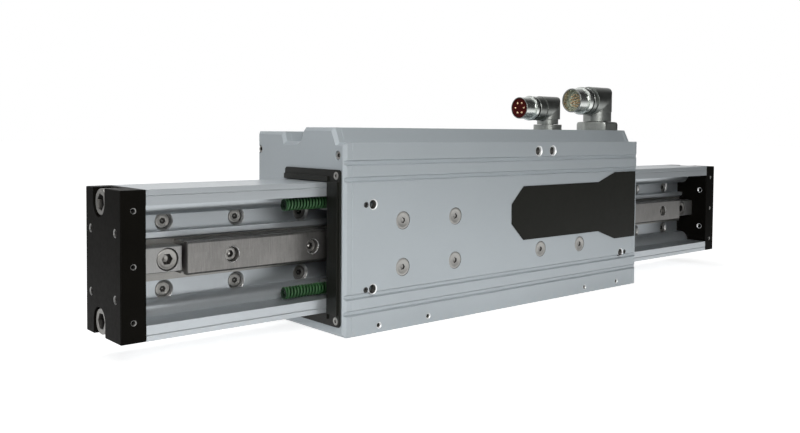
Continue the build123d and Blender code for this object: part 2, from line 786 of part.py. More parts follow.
def make_connector(name, place, size):
    """The pieces of one connector: its fixed base and the elbow that turns on it."""
    top = crown_height + size["base_height"]
    axis_z = crown_height + size["axis"]
    shell = size["sleeve"] - size["wall"]

    def along(distance):
        """A plane across the plug's axis, facing the way it points."""
        return Plane(origin=(place - distance, connector_line, axis_z),
                     x_dir=(0, -1, 0), z_dir=(-1, 0, 0))

    with BuildPart() as base:
        with BuildSketch(Plane.XY.offset(crown_height)):
            with Locations((place, connector_line)):
                if size["base_sides"]:
                    RegularPolygon(size["base"], size["base_sides"])
                else:
                    Circle(size["base"])
        extrude(amount=size["base_height"])
        with Locations((place, connector_line, top)):
            Hole(size["spigot"] + swivel_fit, size["base_height"])
    save(base, f"{name}_base")

    ring_from = size["ring_at"] - size["ring_width"] / 2
    ring_to = size["ring_at"] + size["ring_width"] / 2
    waist_z = crown_height + size["waist"]
    with BuildPart() as elbow:
        with BuildSketch(Plane.XY.offset(axis_z)):
            with Locations((place, connector_line)):
                Circle(size["body"])
        extrude(amount=size["body"])
        with BuildSketch(along(0)):
            Circle(size["body"])
        extrude(amount=-size["body"], mode=Mode.INTERSECT)
        with BuildSketch(along(0)):
            Circle(size["body"])
        extrude(amount=ring_from)
        with BuildSketch(Plane.XY.offset(waist_z)):
            with Locations((place, connector_line)):
                Circle(size["body"])
        extrude(amount=axis_z - waist_z)
        with BuildSketch(Plane.XY.offset(top + swivel_lift)):
            with Locations((place, connector_line)):
                Circle(size["neck"])
        extrude(amount=axis_z - top - swivel_lift)
        with BuildSketch(Plane.XY.offset(crown_height + swivel_lift)):
            with Locations((place, connector_line)):
                Circle(size["spigot"])
        extrude(amount=size["base_height"])
        with BuildSketch(along(ring_from)):
            RegularPolygon(shell, core_sides)
        extrude(amount=size["ring_width"])
    save(elbow, f"{name}_elbow")

    with BuildPart() as ring:
        with BuildSketch(along(ring_from)):
            Circle(size["ring"])
            RegularPolygon(shell, core_sides, mode=Mode.SUBTRACT)
        extrude(amount=size["ring_width"])
    save(ring, f"{name}_o_ring")

    with BuildPart() as sleeve:
        with BuildSketch(along(ring_to)):
            Circle(size["collar"])
        extrude(amount=size["collar_at"] - ring_to)
        with BuildSketch(along(ring_to)):
            Circle(size["sleeve"])
        extrude(amount=size["face"] - ring_to)
        with BuildSketch(along(size["face"])):
            Circle(shell)
        extrude(amount=-size["cavity"], mode=Mode.SUBTRACT)
    save(sleeve, f"{name}_sleeve")

    insert_from = size["face"] - size["cavity"]
    with BuildPart() as insert:
        with BuildSketch(along(insert_from)):
            RegularPolygon(shell - swivel_fit, insert_sides)
        extrude(amount=size["insert"])
    save(insert, f"{name}_insert")

    with BuildPart() as pins:
        for ring_radius, count in zip(size["pin_rings"], size["pin_counts"]):
            with BuildSketch(along(insert_from + size["insert"])):
                with PolarLocations(ring_radius, count):
                    RegularPolygon(size["pin_radius"], pin_sides)
            extrude(amount=size["cavity"] - size["insert"] - size["pin_tip"])
    save(pins, f"{name}_pins")


make_connector("power", power_place, power)
make_connector("feedback", feedback_place, feedback)
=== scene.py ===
import json
from math import cos, pi, radians, sin

import bmesh
import bpy
from mathutils import Matrix, Vector


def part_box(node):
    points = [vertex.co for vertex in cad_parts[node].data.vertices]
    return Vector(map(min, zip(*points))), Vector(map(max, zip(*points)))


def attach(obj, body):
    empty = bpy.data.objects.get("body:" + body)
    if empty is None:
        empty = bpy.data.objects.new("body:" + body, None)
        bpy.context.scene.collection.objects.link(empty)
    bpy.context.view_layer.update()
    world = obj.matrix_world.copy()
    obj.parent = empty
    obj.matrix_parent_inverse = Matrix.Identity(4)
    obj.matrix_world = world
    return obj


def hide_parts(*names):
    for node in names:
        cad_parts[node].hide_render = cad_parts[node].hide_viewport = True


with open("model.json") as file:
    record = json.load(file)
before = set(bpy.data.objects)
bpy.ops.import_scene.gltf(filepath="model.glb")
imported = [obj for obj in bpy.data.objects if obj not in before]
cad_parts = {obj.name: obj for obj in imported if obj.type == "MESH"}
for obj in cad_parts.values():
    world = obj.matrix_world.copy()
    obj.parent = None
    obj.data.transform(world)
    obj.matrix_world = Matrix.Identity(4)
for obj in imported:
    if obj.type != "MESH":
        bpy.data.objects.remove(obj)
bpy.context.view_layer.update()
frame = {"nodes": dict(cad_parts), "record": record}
nodes = frame["nodes"]
MM = 0.001

# Materials


def new_material(name):
    """An empty node material with a Principled shader on its output."""
    mat = bpy.data.materials.new(name)
    mat.use_nodes = True
    tree = mat.node_tree
    tree.nodes.clear()
    out = tree.nodes.new("ShaderNodeOutputMaterial")
    shader = tree.nodes.new("ShaderNodeBsdfPrincipled")
    tree.links.new(shader.outputs["BSDF"], out.inputs["Surface"])
    return mat, tree, shader


def coordinates(tree, scale):
    """Object coordinates stretched by a scale along each axis."""
    source = tree.nodes.new("ShaderNodeTexCoord")
    mapping = tree.nodes.new("ShaderNodeMapping")
    mapping.inputs["Scale"].default_value = scale
    tree.links.new(source.outputs["Object"], mapping.inputs["Vector"])
    return mapping.outputs["Vector"]


def noise(tree, vector, scale, detail):
    node = tree.nodes.new("ShaderNodeTexNoise")
    node.inputs["Scale"].default_value = scale
    node.inputs["Detail"].default_value = detail
    node.inputs["Roughness"].default_value = 0.6
    tree.links.new(vector, node.inputs["Vector"])
    return node.outputs["Fac"]


def spread(tree, factor, low, high, start=0.3, end=0.7):
    """Map what lies between start and end to a plain number between low and high."""
    node = tree.nodes.new("ShaderNodeMapRange")
    node.inputs["From Min"].default_value = start
    node.inputs["From Max"].default_value = end
    node.inputs["To Min"].default_value = low
    node.inputs["To Max"].default_value = high
    tree.links.new(factor, node.inputs["Value"])
    return node.outputs["Result"]


def ramp(tree, factor, stops):
    node = tree.nodes.new("ShaderNodeValToRGB")
    elements = node.color_ramp.elements
    while len(elements) > 1:
        elements.remove(elements[-1])
    elements[0].position = stops[0][0]
    elements[0].color = (*stops[0][1], 1)
    for position, colour in stops[1:]:
        element = elements.new(position)
        element.color = (*colour, 1)
    tree.links.new(factor, node.inputs["Fac"])
    return node.outputs["Color"]


def shade(colour, factor):
    return tuple(min(1.0, c * factor) for c in colour)


def scaled(tree, size, scale, detail=3.0):
    """Noise in object space, stretched by a size along each axis."""
    return noise(tree, coordinates(tree, size), scale, detail)


def combine(tree, operation, first, second):
    node = tree.nodes.new("ShaderNodeMath")
    node.operation = operation
    for socket, value in zip(node.inputs, (first, second)):
        if isinstance(value, (int, float)):
            socket.default_value = value
        else:
            tree.links.new(value, socket)
    return node.outputs["Value"]


def blend_colour(tree, kind, factor, first, second):
    """A colour mix whose factor and colours are numbers or sockets."""
    mix = tree.nodes.new("ShaderNodeMix")
    mix.data_type = "RGBA"
    mix.blend_type = kind
    for name, value in (("Factor", factor), ("A", first), ("B", second)):
        if isinstance(value, (int, float)):
            mix.inputs[name].default_value = value
        elif isinstance(value, tuple):
            mix.inputs[name].default_value = (*value, 1)
        else:
            tree.links.new(value, mix.inputs[name])
    return mix.outputs["Result"]


ROUGH_SPREAD = 0.05  # how far a finish's roughness wanders to each side of its value


def finish_material(name, colour, metallic, rough, grain, depth, contrast, cloud, lines=None,
                    streak=0.0, coat=0.0, edge=0.0, wear_and_highlight=0.0, wear_and_highlight_colour=None, specular=0.5):
    """A surface with a fine grain, soft clouds of tone and, where given, lines and soft edges.

    Grain, cloud and lines are in waves per metre, the lines along each axis, and depth and edge
    are in millimetres. Streak is how dark the lines are. The edges are lightened by a given share
    towards a given colour, partly as wear and partly as a painted highlight."""
    mat, tree, shader = new_material(name)
    clouds = scaled(tree, (1, 1, 1), cloud)
    fine = scaled(tree, (1, 1, 1), grain, 2.0)
    tone = ramp(tree, clouds, [(0.3, shade(colour, 1 - contrast)),
                               (0.7, shade(colour, 1 + contrast))])
    speck = ramp(tree, fine, [(0.3, (1 - contrast,) * 3), (0.7, (1.0,) * 3)])
    result = blend_colour(tree, "MULTIPLY", 1.0, tone, speck)
    height = fine
    if lines:
        drawn = scaled(tree, lines, 1.0, 3.0)
        height = combine(tree, "ADD", fine, combine(tree, "MULTIPLY", drawn, 1.6))
        if streak > 0:
            dull = ramp(tree, drawn, [(0.3, (1 - streak,) * 3), (0.7, (1.0,) * 3)])
            result = blend_colour(tree, "MULTIPLY", 1.0, result, dull)
    bump = tree.nodes.new("ShaderNodeBump")
    bump.inputs["Strength"].default_value = 0.35
    bump.inputs["Distance"].default_value = depth * MM
    tree.links.new(height, bump.inputs["Height"])
    if edge > 0:
        bevel = tree.nodes.new("ShaderNodeBevel")
        bevel.samples = 4
        bevel.inputs["Radius"].default_value = edge * MM
        tree.links.new(bevel.outputs["Normal"], bump.inputs["Normal"])
        # Edges lightened towards a colour: partly wear, partly a painted highlight.
        if wear_and_highlight > 0:
            surface = tree.nodes.new("ShaderNodeNewGeometry")
            dot = tree.nodes.new("ShaderNodeVectorMath")
            dot.operation = "DOT_PRODUCT"
            tree.links.new(bevel.outputs["Normal"], dot.inputs[0])
            tree.links.new(surface.outputs["Normal"], dot.inputs[1])
            edge_wear_and_highlight = spread(tree, dot.outputs["Value"], wear_and_highlight, 0.0, 0.80, 0.99)
            result = blend_colour(tree, "MIX", combine(tree, "MULTIPLY", edge_wear_and_highlight, fine), result,
                                  wear_and_highlight_colour)
    tree.links.new(bump.outputs["Normal"], shader.inputs["Normal"])
    tree.links.new(result, shader.inputs["Base Color"])
    shader.inputs["Metallic"].default_value = metallic
    shader.inputs["Specular IOR Level"].default_value = specular
    tree.links.new(spread(tree, scaled(tree, (1, 1, 1), grain * 0.3), rough - ROUGH_SPREAD,
                          rough + ROUGH_SPREAD), shader.inputs["Roughness"])
    if coat > 0:
        shader.inputs["Coat Weight"].default_value = coat
        shader.inputs["Coat Roughness"].default_value = 0.12
    return mat


ALONG = (6, 900, 900)  # drawn lines that run along x, as on an extrusion

housing_grey = finish_material("housing_grey", (0.45, 0.495, 0.525), 0.38, 0.40, grain=1600,
                               depth=0.02, contrast=0.025, lines=ALONG, cloud=7, edge=0.35,
                               wear_and_highlight=0.5, wear_and_highlight_colour=(0.62, 0.65, 0.67))
beam_anodised = finish_material("beam_anodised", (0.49, 0.525, 0.55), 0.70, 0.34, grain=1500,
                                depth=0.02, contrast=0.03, lines=ALONG, streak=0.03, cloud=9,
                                edge=0.25, wear_and_highlight=0.5, wear_and_highlight_colour=(0.72, 0.74, 0.76))
bare_aluminium = finish_material("bare_aluminium", (0.34, 0.34, 0.335), 0.8, 0.38, grain=900,
                                 depth=0.02, contrast=0.05, lines=(1400, 50, 50), streak=0.08,
                                 cloud=40, edge=0.25)
machined_seat = finish_material("machined_seat", (0.34, 0.335, 0.32), 0.75, 0.36, grain=900,
                                depth=0.02, contrast=0.05, lines=ALONG, streak=0.08, cloud=30)
# Bare machined metal, its near-white colour partly a painted highlight.
machined_edge_and_highlight = finish_material("machined_edge_and_highlight", (0.92, 0.93, 0.94), 0.35, 0.30, grain=900,
                                depth=0.01, contrast=0.05, cloud=60)
black_plate = finish_material("black_anodised", (0.0065, 0.006, 0.005), 0.0, 0.40, grain=1300,
                              depth=0.02, contrast=0.2, cloud=20, edge=0.4, wear_and_highlight=0.9,
                              wear_and_highlight_colour=(0.04, 0.04, 0.045), specular=0.014)
black_plastic = finish_material("black_plastic", (0.009, 0.0095, 0.0075), 0.0, 0.42, grain=1100,
                                depth=0.03, contrast=0.2, cloud=30, edge=0.3, specular=0.2)
black_rubber = finish_material("black_rubber", (0.008, 0.010, 0.009), 0.0, 0.5, grain=1500,
                               depth=0.03, contrast=0.2, cloud=50, specular=0.2)
label_black = finish_material("label_black", (0.0115, 0.012, 0.0095), 0.0, 0.42, grain=900,
                              depth=0.008, contrast=0.12, cloud=12, edge=0.2, specular=0.12)
green_enamel = finish_material("green_enamel", (0.026, 0.096, 0.030), 0.0, 0.34, grain=500,
                               depth=0.03, contrast=0.22, cloud=160, coat=0.15)
# Painted shade: a darker copy of the green enamel for the spring wire's sides, inside and ends.
green_painted_shade = finish_material("green_painted_shade", (0.004, 0.019, 0.006), 0.0, 0.5, grain=500,
                              depth=0.03, contrast=0.2, cloud=160, specular=0.15)
zinc_steel = finish_material("zinc_steel", (0.32, 0.315, 0.30), 0.85, 0.36, grain=1400,
                             depth=0.02, contrast=0.10, cloud=160)
screw_steel = finish_material("screw_steel", (0.22, 0.215, 0.205), 0.85, 0.40, grain=1400,
                              depth=0.02, contrast=0.12, cloud=160)
pale_steel = finish_material("pale_steel", (0.40, 0.395, 0.38), 0.6, 0.40, grain=1400,
                             depth=0.02, contrast=0.08, cloud=160)
# Painted shade: a near-black lining for sockets, hole threads and the gaps round screw heads.
recess_painted_shade = finish_material("recess_painted_shade", (0.05, 0.048, 0.045), 0.8, 0.4, grain=1500,
                              depth=0.02, contrast=0.2, cloud=90)
rail_steel = finish_material("rail_steel", (0.262, 0.256, 0.247), 0.85, 0.34, grain=1500,
                             depth=0.012, contrast=0.09, lines=(1500, 110, 110), streak=0.22,
                             cloud=55, edge=0.3)
black_steel = finish_material("black_steel", (0.14, 0.135, 0.13), 0.9, 0.36, grain=1200,
                              depth=0.02, contrast=0.15, cloud=60, edge=0.2)
bearing_steel = finish_material("bearing_steel", (0.36, 0.36, 0.37), 0.9, 0.34, grain=1000,
                                depth=0.02, contrast=0.08, lines=(8, 700, 700), cloud=20, edge=0.3)
scale_steel = finish_material("scale_steel", (0.50, 0.49, 0.44), 0.9, 0.22, grain=900,
                              depth=0.01, contrast=0.05, lines=(2500, 3, 3), streak=0.15, cloud=30)
magnet_nickel = finish_material("magnet_nickel", (0.42, 0.42, 0.43), 0.9, 0.3, grain=900,
                                depth=0.02, contrast=0.10, cloud=50, edge=0.3)
laminated_iron = finish_material("laminated_iron", (0.12, 0.12, 0.13), 0.7, 0.5, grain=900,
                                 depth=0.06, contrast=0.2, lines=(2, 2, 2500), streak=0.3,
                                 cloud=30)
copper_wire = finish_material("copper_wire", (0.45, 0.17, 0.06), 0.8, 0.35, grain=900,
                              depth=0.1, contrast=0.2, lines=(2, 1500, 2), cloud=50)
nickel = finish_material("nickel", (0.70, 0.73, 0.70), 1.0, 0.25, grain=900, depth=0.015,
                         contrast=0.05, cloud=60)
nickel_cast = finish_material("nickel_cast", (0.305, 0.32, 0.305), 1.0, 0.36, grain=700,
                              depth=0.04, contrast=0.14, cloud=90, edge=0.35)
gold = finish_material("gold", (0.86, 0.62, 0.38), 0.4, 0.3, grain=900, depth=0.01,
                       contrast=0.05, cloud=90)
red_plastic = finish_material("red_plastic", (0.065, 0.004, 0.003), 0.0, 0.40, grain=700,
                              depth=0.03, contrast=0.15, cloud=80, specular=0.08)
pale_plastic = finish_material("pale_plastic", (0.50, 0.53, 0.42), 0.0, 0.45, grain=700,
                               depth=0.03, contrast=0.1, cloud=80)

by_slot = {
    "housing_grey": housing_grey, "anodised_aluminium": beam_anodised,
    "bare_aluminium": bare_aluminium, "black_anodised": black_plate,
    "black_plastic": black_plastic, "black_label": label_black, "green_enamel": green_enamel,
    "zinc_steel": zinc_steel, "black_steel": black_steel, "rail_steel": rail_steel,
    "bearing_steel": bearing_steel, "scale_steel": scale_steel, "laminated_iron": laminated_iron,
    "copper_wire": copper_wire, "magnet_nickel": magnet_nickel, "nickel": nickel, "gold": gold,
    "black_rubber": black_rubber, "red_plastic": red_plastic, "pale_plastic": pale_plastic,
}
for entry in frame["record"]["subparts"]:
    data = nodes[entry["node"]].data
    data.materials.clear()
    data.materials.append(by_slot[entry["material_slot"]])
for name in ("power_elbow", "feedback_elbow", "power_base", "feedback_base"):
    nodes[name].data.materials[0] = nickel_cast


# Mesh helpers, all in millimetres in the part's frame


def make_piece(name, verts, faces, materials, body, face_materials=None, smooth=True):
    """A mesh object that rides on a body, with the materials it is given on its faces."""
    mesh = bpy.data.meshes.new(name)
    mesh.from_pydata([tuple(c * MM for c in v) for v in verts], [], faces)
    for material in materials:
        mesh.materials.append(material)
    if face_materials:
        mesh.polygons.foreach_set("material_index", face_materials)
    mesh.validate()
    cleaned = bmesh.new()
    cleaned.from_mesh(mesh)
    bmesh.ops.recalc_face_normals(cleaned, faces=cleaned.faces)
    cleaned.to_mesh(mesh)
    cleaned.free()
    if smooth:
        mesh.shade_smooth()
        mesh.set_sharp_from_angle(angle=radians(32))
    piece = bpy.data.objects.new(name, mesh)
    bpy.context.scene.collection.objects.link(piece)
    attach(piece, body)
    return piece


def towards(origin, direction, turn=0.0):
    """A transform whose Z points along a direction from an origin."""
    rotation = Vector(direction).to_track_quat("Z", "Y").to_matrix().to_4x4()
    return Matrix.Translation(Vector(origin)) @ rotation @ Matrix.Rotation(turn, 4, "Z")


def ring_point(shape, radius, angle, limit=None):
    """A point of a circle for a shape of 0, or of a polygon with as many sides as its shape.

    The polygon's corners lie at the radius. A limit turns off what lies beyond it."""
    if shape == 0:
        return radius * cos(angle), radius * sin(angle)
    sector = 2 * pi / shape
    inside = (angle % sector) - sector / 2
    reach = radius * cos(sector / 2) / cos(inside)
    if limit:
        reach = min(reach, limit)
    return reach * cos(angle), reach * sin(angle)


def lathe(rings, places, count=36, close="ends"):
    """Loft rings of (shape, radius, height, material) at each place, as ring_point makes them.

    A ring may end with a limit. The solid is closed by its two end faces ("ends") or by
    joining the last ring to the first ("loop")."""
    verts, faces, mats = [], [], []
    for place in places:
        base = len(verts)
        for shape, radius, height, _, *limit in rings:
            for k in range(count):
                x, y = ring_point(shape, radius, 2 * pi * k / count, *limit)
                verts.append(place @ Vector((x, y, height)))
        total = len(rings)
        for r in range(total if close == "loop" else total - 1):
            following = (r + 1) % total
            for k in range(count):
                j = (k + 1) % count
                faces.append((base + r * count + k, base + r * count + j,
                              base + following * count + j, base + following * count + k))
                mats.append(rings[following][3])
        if close == "ends":
            faces.append(tuple(base + k for k in reversed(range(count))))
            mats.append(rings[0][3])
            last = base + (total - 1) * count
            faces.append(tuple(last + k for k in range(count)))
            mats.append(rings[-1][3])
    return verts, faces, mats


def socket_rings(top, socket, depth, dot=0.3):
    """A hexagon socket with a chamfered mouth, and a drilled bottom as wide as a share of it. The
    socket's walls and the rim of its bottom take material 1, a painted shade.
    """
    return [(0, socket * 0.60 + 0.3, top, 0), (6, socket / 2 + 0.1, top - 0.08, 0),
            (6, socket / 2, top - 0.25, 1), (6, socket / 2, top - depth, 1),
            (0, socket * dot, top - depth, 1), (0, socket * dot * 0.67, top - depth - 0.1, 0),
            (0, 0.15, top - depth - 0.6, 0)]


def flat_screw(head, seat, plane, depth, socket, sink=0.0, socket_depth=1.3, dot=0.42):
    """A countersunk screw in its seat, with heights from the CAD head's outer face.

    The seat's surface lies at plane and the head a sink below it.
    Materials: 0 the screw, 1 painted shade in the gap round the head and in the socket, 2 the
    surface round it, 3 a machined edge whose near-white colour is partly a painted highlight."""
    top = plane - sink
    rings = [(0, seat, top - depth - 0.9, 2), (0, seat, plane + 0.02, 2),
             (0, head + 0.22, plane + 0.02, 2)]
    if sink:
        rings += [(0, head + 0.1, plane - 0.04, 3), (0, head - sink * 0.62, top + 0.15, 3)]
        head -= sink * 0.62 + 0.12
    rings += [(0, head + 0.1, top - 0.3, 1), (0, head, top - 0.3, 1),
              (0, head - 0.02, top - 0.12, 0), (0, head - 0.3, top, 0), (0, head * 0.72, top, 0),
              (0, head * 0.68, top - 0.12, 0)]
    return rings + socket_rings(top - 0.12, socket, min(socket_depth, depth - 0.1), dot)


def cap_screw(head, height, socket, depth):
    """A socket cap head whose top is at height 0 and whose foot is at minus its height."""
    return [(0, head, -height, 0), (0, head, -0.6, 0), (0, head - 0.12, -0.22, 0),
            (0, head - 0.45, 0, 0), (0, head * 0.80, 0, 0),
            (0, head * 0.77, -0.1, 0)] + socket_rings(-0.1, socket, depth)


def sunk_cap_screw(seat, bore, plane, head, socket, depth):
    """A cap screw at the bottom of a round counterbore whose mouth lies at plane. The
    counterbore's floor round the head takes material 1, a painted shade, and its mouth material 3,
    the machined edge with its painted highlight.
    """
    return [(0, seat, -depth - 1.2, 2), (0, seat, plane + 0.02, 2),
            (0, bore + 0.15, plane + 0.02, 2), (0, bore, plane - 0.12, 3), (0, bore, -0.9, 2),
            (0, head, -0.9, 1), (0, head, -0.5, 0), (0, head - 0.15, -0.15, 0),
            (0, head - 0.45, 0, 0)] + socket_rings(0, socket, depth)


def solid_boxes(node):
    """The lowest and the highest corner of each separate solid of a CAD node."""
    mesh = nodes[node].data
    parent = list(range(len(mesh.vertices)))

    def root(i):
        while parent[i] != i:
            parent[i] = parent[parent[i]]
            i = parent[i]
        return i

    seen = {}
    for vertex in mesh.vertices:
        key = tuple(round(c, 6) for c in vertex.co)
        if key in seen:
            parent[root(vertex.index)] = root(seen[key])
        seen[key] = vertex.index
    for polygon in mesh.polygons:
        first = polygon.vertices[0]
        for other in polygon.vertices[1:]:
            parent[root(other)] = root(first)
    groups = {}
    for vertex in mesh.vertices:
        groups.setdefault(root(vertex.index), []).append(vertex.co / MM)
    boxes = []
    for points in groups.values():
        low = Vector(min(p[i] for p in points) for i in range(3))
        high = Vector(max(p[i] for p in points) for i in range(3))
        boxes.append((low, high))
    return boxes


FIRST_TURN, TURN_STEP = 0.3, 0.77  # each screw's socket stands at an angle of its own


def screw_places(node, direction):
    """A transform at the middle of the outer face of each screw of a node.

    The direction is the heads' own, or a function that gives it from a screw's middle."""
    places = []
    for index, (low, high) in enumerate(solid_boxes(node)):
        middle = (low + high) / 2
        outward = Vector(direction(middle) if callable(direction) else direction)
        reach = high if sum(outward) > 0 else low
        for i in range(3):
            if abs(outward[i]) > 0.5:
                middle[i] = reach[i]
        places.append(towards(middle, outward, FIRST_TURN + index * TURN_STEP))
    return places


def add_screws(name, node, direction, rings, body, around=None, cone=None, metal=zinc_steel):
    """Replace a node's screw heads by detailed ones, in the surface that lies around them."""
    verts, faces, mats = lathe(rings, screw_places(node, direction))
    materials = [metal, recess_painted_shade]
    if around:
        materials += [around, cone or machined_edge_and_highlight]
    piece = make_piece(name, verts, faces, materials, body, mats)
    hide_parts(node)


FRONT = (0, -1, 0)
MIDDLE_X = 10  # halfway between the part's two ends


def outward_x(point):
    """The direction towards the end of the part that a point is nearer to."""
    return (1, 0, 0) if point.x > MIDDLE_X else (-1, 0, 0)


add_screws("block_screws", "bearing_block_screws", FRONT,
           flat_screw(head=5.95, seat=6.8, plane=0.0, depth=2.6, socket=4.0),
           "housing", housing_grey, metal=pale_steel)
add_screws("web_screws", "magnet_plate_screws", FRONT,
           flat_screw(head=5.75, seat=6.6, plane=1.2, depth=2.2, socket=3.9, sink=1.9,
                      socket_depth=0.85, dot=0.14),
           "slide", beam_anodised, bare_aluminium)
add_screws("frame_screws", "seal_frame_screws", outward_x,
           flat_screw(head=2.6, seat=3.2, plane=0.0, depth=0.9, socket=2.2),
           "housing", black_plastic)
add_screws("cap_screws", "end_cap_screws", outward_x,
           cap_screw(head=2.75, height=2.3, socket=2.9, depth=1.3), "housing")
add_screws("plate_screws", "end_plate_screws", outward_x,
           cap_screw(head=7.8, height=9.9, socket=10.2, depth=5.0), "slide", metal=screw_steel)
add_screws("stop_screws", "stop_block_screws", FRONT,
           cap_screw(head=6.4, height=7.9, socket=6.9, depth=3.6), "slide")
add_screws("rail_cap_screws", "rail_screws", FRONT,
           sunk_cap_screw(seat=5.5, bore=4.86, plane=3.0, head=4.25, socket=4.6, depth=2.4),
           "slide", rail_steel)


# The rail's seat in the beam is milled bare: a thin skin that shows below and above the rail

SEAT_LOW, SEAT_HIGH = 43.45, 68.6
SKIN, SKIN_ROOT = 0.03, 0.2


def rail_seat_face():
    """A closed skin over the beam's flat face behind the rail, rooted in the beam."""
    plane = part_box("guide_rail")[1].y / MM
    low, high = (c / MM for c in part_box("slide_beam"))
    verts = [(x, y, z) for x in (low.x, high.x) for y in (plane - SKIN, plane + SKIN_ROOT)
             for z in (SEAT_LOW, SEAT_HIGH)]
    faces = [(0, 1, 3, 2), (4, 6, 7, 5), (0, 4, 5, 1), (2, 3, 7, 6), (0, 2, 6, 4), (1, 5, 7, 3)]
    make_piece("rail_seat_face", verts, faces, [machined_seat], "slide",
               smooth=False)


rail_seat_face()


# Springs: flat green wire wound on a circle, with closed and ground ends


def helix_spring(name, node, side):
    """A die spring between the ends of its CAD node; side says which way it points.

    The wire's outer side, the first half of its profile, takes the green enamel, and its sides,
    inside and ends a darker green that is painted shade."""
    low, high = (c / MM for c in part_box(node))
    middle_y = (low.y + high.y) / 2
    middle_z = (low.z + high.z) / 2
    outer = (high.z - low.z) / 2
    length = high.x - low.x
    start = low.x if side > 0 else high.x
    turns, per_turn = 15.0, 28
    wide, thick, corner, tip = 1.5, 2.2, 0.6, 0.15
    pitch = (length - wide - 2 * tip) / (turns - 2)
    profile = []
    for px, pr in ((1, 1), (-1, 1), (-1, -1), (1, -1)):
        arc = [(wide / 2 - corner + corner * cos(a), thick / 2 - corner + corner * sin(a))
               for a in (radians(8), radians(45), radians(82))]
        if px * pr < 0:
            arc.reverse()
        profile += [(px * x, pr * r) for x, r in arc]
    count = len(profile)
    steps = int(turns * per_turn)
    verts, faces, mats = [], [], []
    for i in range(steps + 1):
        turn = i / per_turn
        first = min(turn, 1.0)
        last = max(turn - (turns - 1), 0.0)
        x = tip - wide / 2 + wide * (first + last) + pitch * (turn - first - last)
        angle = 2 * pi * turn
        for px, pr in profile:
            radius = outer - thick / 2 + pr
            along = min(max(x + px, 0.0), length)
            verts.append((start + side * along, middle_y + radius * cos(angle),
                          middle_z + radius * sin(angle)))
        if i:
            a = (i - 1) * count
            for k in range(count):
                j = (k + 1) % count
                faces.append((a + k, a + j, a + count + j, a + count + k))
                # The outer side is green enamel, the sides and inside painted shade.
                mats.append(0 if k < count / 2 - 1 else 1)
    faces.append(tuple(range(count)))
    faces.append(tuple(steps * count + k for k in reversed(range(count))))
    # The wire's ends are painted shade too.
    mats += [1, 1]
    piece = make_piece(name, verts, faces, [green_enamel, green_painted_shade], "housing",
                       mats)
    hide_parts(node)


for end, side in (("left", -1), ("right", 1)):
    for level in ("upper", "lower"):
        helix_spring(f"spring_{end}_{level}", f"bumper_spring_{end}_{level}", side)


# Rims: the machined edge and the lining of each bored hole, over the CAD hole. The edge's
# near-white is partly a painted highlight, and the lining's dark a painted shade.

THREAD_PITCH = 0.7


def rims(name, places, body, materials, radius, width, threads, bright=0.3, cone=0.12):
    """A thin ring round the mouth of each hole and a cone that leads into it.

    Below the cone the wall is bright to a depth, then each thread is one ridge that stands in from
    it. The first material is the bright one and the second the threads', a painted shade. With the
    near-white machined edge first, the bright wall is partly bare metal and partly a painted
    highlight."""
    outer = radius + width
    bore = radius - cone
    wall = -cone - bright
    floor_height = wall - 0.1 - threads * THREAD_PITCH
    rings = [(0, outer, floor_height, 1), (0, outer, 0.02, 1), (0, outer - 0.05, 0.04, 0),
             (0, radius + 0.02, 0.015, 0), (0, bore, -cone, 0), (0, bore, wall, 0)]
    for k in range(threads):
        rings += [(0, bore - 0.3, wall - THREAD_PITCH / 2 - k * THREAD_PITCH, 1),
                  (0, bore, wall - THREAD_PITCH - k * THREAD_PITCH, 1)]
    rings.append((0, bore - 0.03, floor_height, 1))
    verts, faces, mats = lathe(rings, places, 32, "loop")
    make_piece(name, verts, faces, materials, body, mats)


# Where the holes lie: in the housing's front face, in its strip of small holes and its ports,
# and in the slide's end plates. A rise is a distance above and below the slide's axis.

FACE_Y, AXIS_Z = -53.0, 58.0
MOUNT_X, DOWEL_X, MOUNT_RISE = 140.0, 146.0, 28.2
STRIP_X, STRIP_Z = (134.5, 89.5), 4.7
PORT_X, PORT_Z = (28.1, 45.3), 120.0
PLATE_Y, PLATE_STEP_Y, PLATE_RISE, EDGE_RISE = -29.75, 35.5, 18.65, 31.4
PLATE_INSET = 0.05

corners = ((-1, -1), (-1, 1), (1, -1))
# Holes: a near-white wall near the mouth, partly a painted highlight, then painted shade deeper
# in. The end plates' holes have bare metal near the mouth.
bore_finish = [machined_edge_and_highlight, recess_painted_shade]
plate_finish = [bare_aluminium, recess_painted_shade]
plate_low, plate_high = (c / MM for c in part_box("end_plate_left"))
far_low, far_high = (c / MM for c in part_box("end_plate_right"))
end_faces = ((plate_low.x, -1), (far_high.x, 1))
inner_faces = ((plate_high.x, 1), (far_low.x, -1))

rims("mount_rims",
     [towards((i * MOUNT_X, FACE_Y, AXIS_Z + j * MOUNT_RISE), FRONT) for i, j in corners],
     "housing", bore_finish, radius=3.4, width=0.25, threads=6, bright=0.1,
     cone=0.45)
